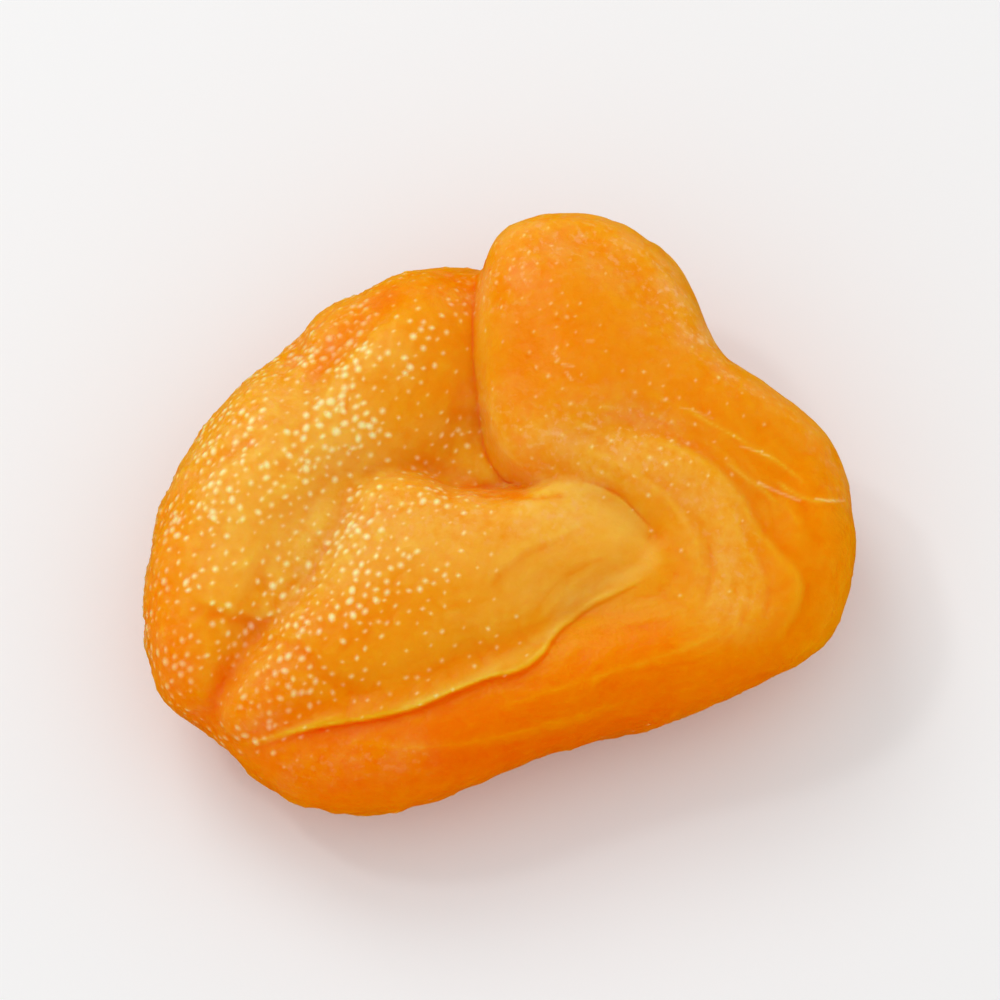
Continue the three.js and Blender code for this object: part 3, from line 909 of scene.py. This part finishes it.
PATCHES = brushes(
    (1.6, 0.6, (-9, -1.2), (-7, 0), (-4.5, -0.4)),
    (1.8, 1.2, (-9.5, -4), (-11.5, -7.5), (-12.6, -11.4)),
    (1.5, -0.5, (-13, -2.4), (-10, -2)),
    (1.4, -0.5, (-10.5, -1), (-8.5, 2)),
    (0.8, -0.8, (-10.6, -3.6), (-8.8, -0.6), (-6.6, 1.6)),
    (1, -0.8, (-15, -10.5), (-12.6, -7.4)),
    (1.4, -0.5, (-14.4, -4.4), (-11.4, -4.6)),
    (2.2, -0.3, (-6, -8), (-2, -6.5), (0, -3)),
    (3, 0.3, (-4, 9), (-8, 6), (-11, 3.5)),
    (1.1, -0.4, (-2.6, 11.6), (-6, 10.4), (-9.6, 8.4)),
    (4, 0.16, (1.5, 10), (4, 6), (9, 4.5)),
    (2.5, 0.08, (8, 1), (11.5, -1), (11, -4)),
)
"""Where the pimples stand more or less thickly than elsewhere on the grainy skin."""

BLOOM_AND_SHEEN_STROKES = brushes(
    (1.6, 0.7, (-0.4, 11), (1.5, 13.2), (4.5, 13.4), (7.5, 11.8), (9.8, 9)),
    (0.8, 0.6, (8, 11.4), (10.2, 8.8), (11.6, 6.8)),
    (1.4, 0.5, (-0.6, 4.8), (1.5, 3.6), (4.5, 3.9), (7.5, 3.4)),
    (5, 0.08, (3, 9), (6, 6)),
    (1.6, 0.15, (-3, 11.6), (-7, 9.8)),
    (1.8, 0.65, (-8.8, 8.4), (-12, 5.6), (-15.5, 1.8)),
    (1.6, 0.2, (-17.6, 0), (-18, -5), (-16.5, -10)),
    (1.8, 0.6, (-9, -2), (-6, -0.4), (-2.5, -0.6), (3, -0.6)),
    (1.6, 0.42, (-10, -4.6), (-11.6, -7.6), (-12.8, -11)),
    (1.6, 0.5, (3, 2.6), (8, 2), (11.2, -1), (12, -5)),
    (0.8, 0.4, (12.4, 6.2), (16.2, 3.6), (18.2, 0)),
    (1, 0.4, (-10.5, -13.8), (-4.6, -12.8)),
)
# Where the skin has a pale, dull bloom: partly its own dried bloom, partly a painted sheen on the parts
# that face the light.
"""Where the skin has dried with a pale, dull bloom."""

GLINTS = brushes(
    (0.12, 0.46, (13.3, 0.8), (14.4, 0.3), (15.4, -0.1)),
    (0.12, 0.42, (16.2, 0), (17, -0.1), (17.8, -0.1)),
    (0.12, 0.34, (12.3, 2.7), (13, 2.5), (13.8, 2.2)),
    (0.12, 0.32, (9.2, 4.7), (10, 4.5), (10.9, 4.1)),
    (0.14, 0.42, (2.6, 7.5), (2.9, 7.2)),
    (0.12, 0.46, (3.1, 6.9), (3.7, 6.8)),
    (0.13, 0.46, (3.3, 6.5), (3.6, 6.1)),
    (0.14, 0.4, (4.4, 8.1), (4.7, 8.1)),
    (0.16, 0.4, (4.2, 3.8), (4.8, 3.6)),
    (0.16, 0.42, (10.2, 8.2), (10.4, 8.1)),
)
# Painted glints: small, almost white highlight lines and spots painted into the colour, and glossier, where
# the skin shines.
"""The small, almost white lines and spots where the skin is dry or wet enough to shine."""

BARE_EDGE = (
    (-16, -15), (-14.4, -13), (-12.1, -12.3), (-9.6, -11.6), (-7.3, -11.2), (-4.9, -10.7), (-2.8, -9.9),
    (0.7, -8.8), (1.2, -7.6), (1, -6), (0.6, -4), (0.2, -2), (-0.4, 0), (-0.8, 2), (-1.5, 5.4), (-1.6, 9.6),
    (-1.4, 12.1), (-1, 15),
)
"""The line with grainy skin on its left and smooth skin on its right."""


@dataclass
class DriedApricot:
    """The whole fruit: its body, its folds and its skin, in millimetres until it is fitted."""

    lobes: tuple[Cushion | Roll, ...] = LOBES
    strokes: tuple[Stroke, ...] = STROKES
    fibres: tuple[Fibres, ...] = FIBRES
    wrinkles: tuple[Wrinkles, ...] = WRINKLES
    puckers: Puckers = Puckers()
    tints_light_and_shade: tuple[Brush, ...] = TINTS_LIGHT_AND_SHADE
    patches: tuple[Brush, ...] = PATCHES
    bloom_and_sheen_strokes: tuple[Brush, ...] = BLOOM_AND_SHEEN_STROKES
    glints: tuple[Brush, ...] = GLINTS
    grain: Grain = Grain()
    tone_light_and_shade: ToneLightAndShade = ToneLightAndShade()
    cell: float = 0.32
    fine_cell: float = 0.282
    """The width of the mesh's faces when the body is blended, and when the fine strokes start."""
    fine_faced: float = 0.15
    """How far the skin turns to the viewer where it is divided more finely."""
    softening: int = 6
    """How often the joins between the lobes are smoothed."""
    sectors: int = 120
    """How many directions the outline is eased in."""
    flat: float = 0.9
    """How deep the back is pressed on the floor."""
    mesh: bpy.types.Mesh = field(init=False)

    @property
    def skin(self) -> Skin:
        """The skin as it is now."""
        return read(self.mesh)

    def softened(self, smoothing: tuple[str, dict]) -> Skin:
        """Find what the skin would be if it were smoothed.

        Args:
            smoothing: The modifier that smooths it.

        Returns:
            The smoothed skin.
        """
        soft = through(self.mesh.copy(), smoothing)
        skin = read(soft)
        bpy.data.meshes.remove(soft)
        return skin

    def move(self, co: np.ndarray) -> None:
        """Move the skin's vertices to new places."""
        self.mesh.vertices.foreach_set("co", co.astype(np.float32).ravel())
        self.mesh.update()

    def blend(self) -> None:
        """Join the rolls of flesh into one body with soft valleys between them."""
        bm = bmesh.new()
        for lobe in self.lobes:
            lobe.add_to(bm)
        mesh = bpy.data.meshes.new(NODE)
        bm.to_mesh(mesh)
        bm.free()
        divided = "SUBSURF", {"levels": 1, "render_levels": 1}
        self.mesh = through(mesh, remesh(self.cell), smooth(self.softening), divided)
        LOG.info("blended body: %d vertices", len(self.mesh.vertices))

    def trim(self) -> None:
        """Ease the silhouette out or in to the drawn outline, and leave the middle alone."""
        co = self.skin.co
        u, v, _ = facing(co)
        turn, reach = np.arctan2(v, u), np.hypot(u, v)
        sector = ((turn + math.pi) / (2 * math.pi) * self.sectors).astype(int) % self.sectors
        widest = np.zeros(self.sectors)
        np.maximum.at(widest, sector, reach)
        edge = smooth_curve(np.array([*OUTLINE, OUTLINE[0]]), samples=6 * self.sectors)
        centres = (np.arange(self.sectors) + 0.5) / self.sectors * 2 * math.pi - math.pi
        circle = {"period": 2 * math.pi}
        wanted = np.interp(centres, *by_angle(edge), **circle)
        ratio = np.interp(turn, centres, wanted / widest, **circle)
        share = np.clip(reach / np.interp(turn, centres, widest, **circle), 0, 1)
        pull = (ratio - 1) * share**3
        co[:, 0] += u * pull
        co[:, 1] += v * pull / RISE
        self.move(co)
        LOG.info("silhouette eased by up to %.2f mm", np.abs(wanted - widest).max())

    def carve(self, fine: bool) -> None:
        """Draw the folds, pleats and thin edges into the side that faces the viewer.

        Args:
            fine: Whether to draw the fine strokes, or else the broad ones.
        """
        drawn = [stroke for stroke in self.strokes if stroke.fine is fine]
        skin = self.skin
        push = sum(mark.push(skin.face) for mark in (*drawn, *(self.fibres if fine else ())))
        push *= skin.in_view
        self.move(skin.co + np.array(TO_VIEWER) * push[:, None])
        LOG.info("%d strokes carved", len(drawn))

    def refine(self) -> None:
        """Give the skin an even mesh again, finer on the face than on the back."""
        self.mesh = through(self.mesh, remesh(self.fine_cell), smooth(2))
        faced = self.skin.toward > self.fine_faced
        bm = bmesh.new()
        bm.from_mesh(self.mesh)
        edges = {e for f in bm.faces if all(faced[v.index] for v in f.verts) for e in f.edges}
        made = bmesh.ops.subdivide_edges(bm, edges=list(edges), cuts=1, use_grid_fill=True)
        new = [part for part in made["geom_inner"] if isinstance(part, bmesh.types.BMVert)]
        for _ in range(2):
            bmesh.ops.smooth_vert(
                bm, verts=new, factor=0.5, use_axis_x=True, use_axis_y=True, use_axis_z=True
            )
        bmesh.ops.triangulate(bm, faces=[f for f in bm.faces if len(f.verts) > 4])
        bm.to_mesh(self.mesh)
        bm.free()
        LOG.info("face divided: %d vertices", len(self.mesh.vertices))

    def wrinkle(self) -> None:
        """Wrinkle the whole skin, the back and sides more than the face."""
        grainy, co, soft = self.grainy_skin(), self.skin.co, self.softened(PUSHED_FROM)
        back = smoothstep(*BACK_UP, soft.no[:, 2]) * smoothstep(*BACK_AWAY, soft.toward)
        push = np.zeros(len(co))
        for k, place in enumerate(map(Vector, co)):
            for layer in self.wrinkles:
                more = 1 + (layer.on_back - 1) * back[k] + layer.on_skin * grainy[k] * (1 - back[k])
                push[k] += layer.height * more * layer.rise(place)
            if back[k] > 0:
                push[k] += self.puckers.height * back[k] * self.puckers.rise(place)
        self.move(co + soft.no * push[:, None])

    def grainy_skin(self) -> np.ndarray:
        """Work out how thickly the skin is set with pimples.

        Returns:
            How grainy each vertex is, from 0 where it is smooth to 1.5.
        """
        skin, grain = self.skin, self.grain
        inside, _, _ = follow(BARE_EDGE, skin.face)
        thickness = from_least(grain.thin, smoothstep(*grain.thicken, inside))
        grainy = smoothstep(*grain.start, inside) * thickness
        grainy += sum(patch.laid(skin.face) for patch in self.patches)
        below = grain.underneath * smoothstep(0.0, -0.75, skin.no[:, 2])
        return np.maximum(grainy.clip(0, 1.5), below)

    def roughen(self) -> np.ndarray:
        """Raise the pimples of the outer skin.

        Returns:
            How high on a pimple each vertex is, from 0 to 1.
        """
        grain, grainy, skin = self.grain, self.grainy_skin(), self.skin
        co = skin.co
        near = kdtree.KDTree(len(co))
        for k, place in enumerate(co):
            near.insert(place, k)
        near.balance()
        rng = np.random.default_rng(grain.seed)
        thinned = np.array([grain.thinned(place) for place in map(Vector, co)])
        gap = grain.closest * (1 + grain.sparse * (1 - grainy + grain.patchy * thinned).clip(0, 2))
        few, wider = grain.stray
        gap *= rng.uniform(*grain.uneven, len(co)) * np.where(grainy < few, wider, 1.0)
        free, chosen = np.ones(len(co), bool), []
        for k in rng.permutation(len(co)):
            if free[k] and grainy[k] > grain.bare:
                free[[j for _, j, _ in near.find_range(co[k], gap[k])]] = False
                chosen.append(k)
        # pimples are smaller where the skin is barely grainy, and where they thin out
        height = np.zeros(len(co))
        for k in chosen:
            size = rng.uniform(*grain.sizes) * from_least(grain.faint, min(grainy[k], 1.0))
            size *= min(1.0, max(grain.shrunk, grain.usual - thinned[k]))
            lean = Vector(rng.normal(size=3)).normalized()
            reach = grain.radius * from_least(grain.narrowest, size)
            for place, j, away in near.find_range(co[k], reach):
                along = (place - Vector(co[k])).dot(lean)
                lift = 1 - math.sqrt(away**2 + along**2) / reach
                height[j] = max(height[j], from_least(grain.lowest, size) * lift)
        self.move(co + skin.no * (grain.height * height)[:, None])
        LOG.info("%d pimples raised", len(chosen))
        return height

    def tone(self) -> np.ndarray:
        """Work out how pale the flesh is, painted light and shade included.

        What stands above the skin's own soft average is paler and what lies below it deeper, partly as
        painted highlight on crests and painted shade in hollows. The sides are deeper as painted shade,
        and the tints and thin crests and creases add the flesh's own patches and painted light and shade.

        Returns:
            The tone of each vertex, from 0 to 1, with 0.5 for its usual orange.
        """
        skin, tone_light_and_shade = self.skin, self.tone_light_and_shade
        front, face, up = skin.in_view, skin.face, skin.no[:, 2]
        above = np.einsum("ij,ij->i", skin.co - self.softened(SHADED_FROM).co, skin.no)
        # painted highlight on crests and painted shade in hollows, mixed with the flesh's own paler raised
        # skin
        tone = tone_light_and_shade.usual + np.clip(above, *tone_light_and_shade.rise_span) * tone_light_and_shade.rise
        tone += np.clip(above, *tone_light_and_shade.crest_span) * tone_light_and_shade.crest
        # painted shade on the sides that turn down, and more on the hidden back
        tone -= tone_light_and_shade.side * smoothstep(*tone_light_and_shade.side_shade_span, up)
        tone -= tone_light_and_shade.unseen_shade * (1 - front) * smoothstep(*tone_light_and_shade.unseen_shade_span, up)
        # brushed tints: the flesh's own patches and painted light and shade
        tone += front * sum(tint.laid(face) for tint in self.tints_light_and_shade)
        # painted highlight along thin crests and painted shade in creases
        for stroke in self.strokes:
            if stroke.mark in CREST_HIGHLIGHT_CREASE_SHADE:
                tone += CREST_HIGHLIGHT_CREASE_SHADE[stroke.mark] * front * np.abs(stroke.push(face)) / stroke.depth
        return np.clip(tone, 0, 1)

    def bloom_and_painted_sheen(self) -> np.ndarray:
        """Work out how much pale bloom the skin has, its own dull bloom and a painted sheen.

        Returns:
            The bloom and painted sheen on each vertex, from 0 to 1.
        """
        skin = self.skin
        front = skin.in_view
        # the bloom brushes, partly the skin's own bloom and partly painted sheen
        bloom = sum(bloom_and_painted_sheen.laid(skin.face) for bloom_and_painted_sheen in self.bloom_and_sheen_strokes)
        return np.clip(front * bloom + self.tone_light_and_shade.unseen_frost * (1 - front), 0, 1)

    def shine(self) -> np.ndarray:
        """Work out where the painted glints are, which are painted and glossed as the pimples are, from 0
        to 1.
        """
        skin = self.skin
        return skin.in_view * np.max([glint.laid(skin.face) for glint in self.glints], axis=0)

    def rest(self) -> None:
        """Press the back flat on the floor."""
        co = self.skin.co
        floor = co[:, 2].min() + self.flat
        co[:, 2] = np.where(co[:, 2] < floor, floor, co[:, 2]) - floor
        self.move(co)

    def fit(self) -> None:
        """Scale the fruit into its box, in metres."""
        low, high = (np.array(corner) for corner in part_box(NODE))
        co = self.skin.co
        least, most = co.min(axis=0), co.max(axis=0)
        scale = (high - low) / (most - least)
        LOG.info("natural size %s mm", np.round(most - least, 2))
        self.move((co - (least + most) / 2) * scale + (low + high) / 2)

    def build(self) -> bpy.types.Object:
        """Sculpt the fruit.

        Returns:
            The fruit as an object, in metres.
        """
        self.blend()
        self.trim()
        self.carve(fine=False)
        self.refine()
        self.carve(fine=True)
        self.wrinkle()
        # the tone and bloom carry painted light and shade, and the painted glints join the pimples' mask
        masks = {Mask.TONE_LIGHT_AND_SHADE: self.tone(), Mask.BLOOM_AND_SHEEN: self.bloom_and_painted_sheen()}
        grain = self.roughen()
        masks[Mask.PIMPLES_AND_GLINTS] = np.maximum(grain, self.shine())
        self.rest()
        self.fit()
        for mask in Mask:
            layer = self.mesh.attributes.new(mask.value, "FLOAT", "POINT")
            layer.data.foreach_set("value", masks[mask].astype(np.float32))
        fruit = bpy.data.objects.new("folded_apricot", self.mesh)
        bpy.context.scene.collection.objects.link(fruit)
        for polygon in self.mesh.polygons:
            polygon.use_smooth = True
        LOG.info("%d triangles", sum(len(p.vertices) - 2 for p in self.mesh.polygons))
        return fruit


Span = tuple[float, float, float, float]
"""A value's low and high limit, and what it is mapped to there."""


@dataclass(frozen=True)
class Flesh:
    """The finish of dried apricot flesh; colours are linear.

    Each noise in the flesh is given by how many patches of it a metre takes in, and how detailed
    it is. The spans say how strongly each thing shows where its noise or mask is low and high.
    """

    deep: tuple[float, float, float] = (0.89, 0.15, 0.0004)
    ripe: tuple[float, float, float] = (0.89, 0.28, 0.0005)
    skin: tuple[float, float, float] = (0.88, 0.36, 0.009)
    pale: tuple[float, float, float] = (0.91, 0.50, 0.065)
    # the colour of the dull bloom and of the painted sheen
    bloom_and_painted_sheen: tuple[float, float, float] = (0.92, 0.50, 0.19)
    # the pimples' colours, bright where the tone is paler and dim where it is deeper: partly painted
    # highlight, also used for the painted glints
    dots: tuple[float, float, float] = (1.0, 0.80, 0.38)
    dim_dots: tuple[float, float, float] = (0.93, 0.52, 0.21)
    roughness: float = 0.42
    grain_roughness: float = 0.2
    shine: float = 0.22
    ior: float = 1.45
    glow: float = 0.004
    """How far light travels under the skin, in metres."""
    glow_colour: tuple[float, float, float] = (1.0, 0.45, 0.1)
    blush: tuple[int, int] = (120, 3)
    cloud: tuple[int, int] = (480, 4)
    mottling: float = 0.2
    speck: tuple[int, int] = (2200, 2)
    speck_span: Span = (0.0, 0.5, 0.15, 0.5)
    haze: tuple[int, int] = (700, 3)
    haze_span: Span = (0.35, 0.75, 0.0, 0.35)
    fleck: tuple[int, int] = (2600, 3)
    fleck_span: Span = (0.5, 0.72, 0.0, 0.6)
    dot_span: Span = (0.12, 0.78, 0.0, 0.95)
    bright_dot_span: Span = (0.35, 0.7, 0.0, 1.0)
    gloss_span: tuple[float, float] = (0.2, 0.7)
    pore: tuple[int, int] = (1100, 2)
    fine_pore: tuple[int, int] = (3600, 3)
    pore_share: float = 0.6
    pore_strength: float = 0.6
    pore_depth: float = 0.00008

    @property
    def stops(self) -> tuple[tuple[float, tuple[float, float, float]], ...]:
        """The colours from the deepest to the palest, with the tone at which each is reached."""
        return (0.0, self.deep), (0.4, self.ripe), (0.65, self.skin), (1.0, self.pale)


class Graph:
    """A small helper that lays nodes into a node tree and links them."""

    def __init__(self, tree: bpy.types.NodeTree) -> None:
        """Start with a node tree."""
        self.tree = tree

    def plug(self, socket: bpy.types.NodeSocket, value: object) -> None:
        """Fill a socket.

        Args:
            socket: The socket.
            value: What goes into it: a value, a colour, or another node's output.
        """
        if isinstance(value, bpy.types.NodeSocket):
            self.tree.links.new(value, socket)
        elif isinstance(value, tuple) and socket.type == "RGBA":
            socket.default_value = (*value, 1.0)
        else:
            socket.default_value = value

    def add(self, kind: str, inputs: dict | None = None, **settings: object) -> bpy.types.Node:
        """Add a node.

        Args:
            kind: The node's type.
            inputs: What goes into its sockets, by their identifiers.
            settings: The node's own properties.

        Returns:
            The new node.
        """
        node = self.tree.nodes.new(f"ShaderNode{kind}")
        for name, value in settings.items():
            setattr(node, name, value)
        sockets = {socket.identifier: socket for socket in node.inputs}
        for name, value in (inputs or {}).items():
            self.plug(sockets[name], value)
        return node

    def mask(self, mask: Mask) -> bpy.types.NodeSocket:
        """Read one of the skin's masks."""
        return self.add("Attribute", attribute_name=mask.value).outputs["Fac"]

    def math(self, operation: str, *values: object) -> bpy.types.NodeSocket:
        """Work out a sum, product or other function of two or three values."""
        inputs = dict(zip(("Value", "Value_001", "Value_002"), values))
        return self.add("Math", inputs, operation=operation).outputs["Value"]

    def span(self, value: object, *limits: float) -> bpy.types.NodeSocket:
        """Map a value smoothly from its low and high limit to the two that follow."""
        inputs = dict(zip(("From Min", "From Max", "To Min", "To Max"), limits), Value=value)
        return self.add("MapRange", inputs, interpolation_type="SMOOTHSTEP").outputs["Result"]

    def mix(self, share: object, a: object, b: object) -> bpy.types.NodeSocket:
        """Mix two colours.

        Args:
            share: How much of the second goes in, from 0 to 1.
            a: The first.
            b: The second.

        Returns:
            The mixture.
        """
        inputs = {"Factor_Float": share, "A_Color": a, "B_Color": b}
        outputs = self.add("Mix", inputs, data_type="RGBA").outputs
        return next(socket for socket in outputs if socket.identifier == "Result_Color")

    def ramp(self, share: object, stops: tuple) -> bpy.types.NodeSocket:
        """Run through colours, each reached at its own share.

        Args:
            share: Where to be on the way, from 0 to 1.
            stops: Each colour's share and the colour.

        Returns:
            The colour.
        """
        node = self.add("ValToRGB", {"Fac": share})
        elements = node.color_ramp.elements
        while len(elements) < len(stops):
            elements.new(0.5)
        for element, (at, colour) in zip(elements, stops):
            element.position, element.color = at, (*colour, 1.0)
        return node.outputs["Color"]


def flesh_material(flesh: Flesh) -> bpy.types.Material:
    """Make the apricot's material.

    Args:
        flesh: The finish.

    Returns:
        The material.
    """
    material = bpy.data.materials.new("apricot_flesh")
    material.use_nodes = True
    graph = Graph(material.node_tree)
    place = graph.add("TexCoord").outputs["Object"]

    def mottle(per_metre: float, detail: float) -> bpy.types.NodeSocket:
        """Make a soft noise, from 0 to 1."""
        inputs = {"Vector": place, "Scale": per_metre, "Detail": detail}
        return graph.add("TexNoise", inputs).outputs["Fac"]

    blush, cloud, speck = (
        graph.math("SUBTRACT", mottle(*size), 0.5) for size in (flesh.blush, flesh.cloud, flesh.speck)
    )
    # the tone, with its painted light and shade, is mottled and run through the flesh's colours
    tone = graph.math("MULTIPLY_ADD", blush, flesh.mottling, graph.mask(Mask.TONE_LIGHT_AND_SHADE))
    tone = graph.math("MULTIPLY_ADD", cloud, flesh.mottling, tone)
    specks = graph.span(graph.mask(Mask.BLOOM_AND_SHEEN), *flesh.speck_span)
    colour = graph.ramp(graph.math("MULTIPLY_ADD", speck, specks, tone), flesh.stops)
    haze = graph.span(mottle(*flesh.haze), *flesh.haze_span)
    flecks = graph.span(mottle(*flesh.fleck), *flesh.fleck_span)
    # the bloom, with its painted sheen where the skin faces the light
    bloom = graph.math("MULTIPLY", graph.mask(Mask.BLOOM_AND_SHEEN), graph.math("ADD", haze, flecks))
    colour = graph.mix(bloom, colour, flesh.bloom_and_painted_sheen)
    # the pimples' cream colour is partly painted highlight, brighter where the tone is paler, and the
    # painted glints take it too
    grain = graph.span(graph.mask(Mask.PIMPLES_AND_GLINTS), *flesh.dot_span)
    bright = graph.span(graph.mask(Mask.TONE_LIGHT_AND_SHADE), *flesh.bright_dot_span)
    dots = graph.mix(bright, flesh.dim_dots, flesh.dots)
    roughness = flesh.roughness, flesh.grain_roughness
    rough = graph.span(graph.mask(Mask.PIMPLES_AND_GLINTS), *flesh.gloss_span, *roughness)
    fine = mottle(*flesh.fine_pore)
    pores = graph.math("MULTIPLY_ADD", mottle(*flesh.pore), flesh.pore_share, fine)
    bump = {"Height": pores, "Strength": flesh.pore_strength, "Distance": flesh.pore_depth}
    finish = {
        "Base Color": graph.mix(grain, colour, dots),
        "Roughness": rough,
        "Normal": graph.add("Bump", bump).outputs["Normal"],
        "IOR": flesh.ior,
        "Subsurface Weight": 1.0,
        "Subsurface Radius": flesh.glow_colour,
        "Subsurface Scale": flesh.glow,
        "Specular IOR Level": flesh.shine,
    }
    shader = material.node_tree.nodes["Principled BSDF"]
    for name, value in finish.items():
        graph.plug(shader.inputs[name], value)
    return material


@dataclass(frozen=True)
class Softbox:
    """A round softbox: its name, place, width in metres, and power in watts."""

    name: str
    at: tuple[float, float, float]
    width: float
    power: float


@dataclass(frozen=True)
class Studio:
    """The pale floor, the soft light and the camera, in metres."""

    frame_width: float = 0.052
    distance: float = 0.5
    target: tuple[float, float, float] = (0.0, 0.00104, 0.006)
    floor_reach: float = 2.0
    floor_colour: tuple[float, float, float] = (0.93, 0.93, 0.93)
    room_light: float = 0.82
    softboxes: tuple[Softbox, ...] = (
        Softbox("key", (-0.24, 0.38, 0.46), width=0.30, power=0.7),
        Softbox("window", (-0.30, 0.16, 0.48), width=0.07, power=0.25),
    )

    def aim(self, name: str, data: bpy.types.ID, at: Vector) -> bpy.types.Object:
        """Stand a lamp or camera at a place, pointing at the fruit.

        Args:
            name: Its name.
            data: The lamp or camera.
            at: Its place.

        Returns:
            Its object.
        """
        stand = bpy.data.objects.new(name, data)
        stand.location = at
        stand.rotation_euler = (Vector(self.target) - at).to_track_quat("-Z", "Y").to_euler()
        bpy.context.scene.collection.objects.link(stand)
        return stand

    def camera(self) -> None:
        """Stand the camera at the viewer's place, looking at the middle of the fruit."""
        data = bpy.data.cameras.new("camera")
        data.lens = data.sensor_width * self.distance / self.frame_width
        data.clip_start, data.clip_end = 0.01, 20.0
        at = Vector(self.target) + Vector(TO_VIEWER) * self.distance
        bpy.context.scene.camera = self.aim("camera", data, at)

    def floor(self) -> None:
        """Lay the floor."""
        bm = bmesh.new()
        bmesh.ops.create_grid(bm, x_segments=1, y_segments=1, size=self.floor_reach)
        mesh = bpy.data.meshes.new("floor")
        bm.to_mesh(mesh)
        bm.free()
        floor = bpy.data.objects.new("floor", mesh)
        bpy.context.scene.collection.objects.link(floor)
        material = bpy.data.materials.new("floor_white")
        material.use_nodes = True
        shader = material.node_tree.nodes["Principled BSDF"]
        shader.inputs["Base Color"].default_value = (*self.floor_colour, 1.0)
        mesh.materials.append(material)
        floor.visible_glossy = False

    def light(self) -> None:
        """Hang the softboxes and set the room's own light."""
        world = bpy.data.worlds.new("room")
        world.use_nodes = True
        sky = world.node_tree.nodes["Background"].inputs
        sky["Color"].default_value = (1.0, 1.0, 1.0, 1.0)
        sky["Strength"].default_value = self.room_light
        bpy.context.scene.world = world
        world.cycles_visibility.glossy = False
        for box in self.softboxes:
            data = bpy.data.lights.new(box.name, "AREA")
            data.shape, data.size, data.energy = "DISK", box.width, box.power
            self.aim(box.name, data, Vector(box.at))

    def build(self) -> None:
        """Set everything up."""
        self.floor()
        self.light()
        self.camera()
        bpy.context.scene.view_settings.view_transform = "Standard"


def main() -> None:
    """Build the apricot and its studio in order."""
    logging.basicConfig(level=logging.INFO, format="%(name)s: %(message)s")
    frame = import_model()
    LOG.info("stands in for %s", frame["nodes"][NODE].name)
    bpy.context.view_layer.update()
    fruit = DriedApricot().build()
    fruit.data.materials.append(flesh_material(Flesh()))
    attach(fruit, "root")
    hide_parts(NODE)
    Studio().build()


if __name__ == "__main__":
    main()
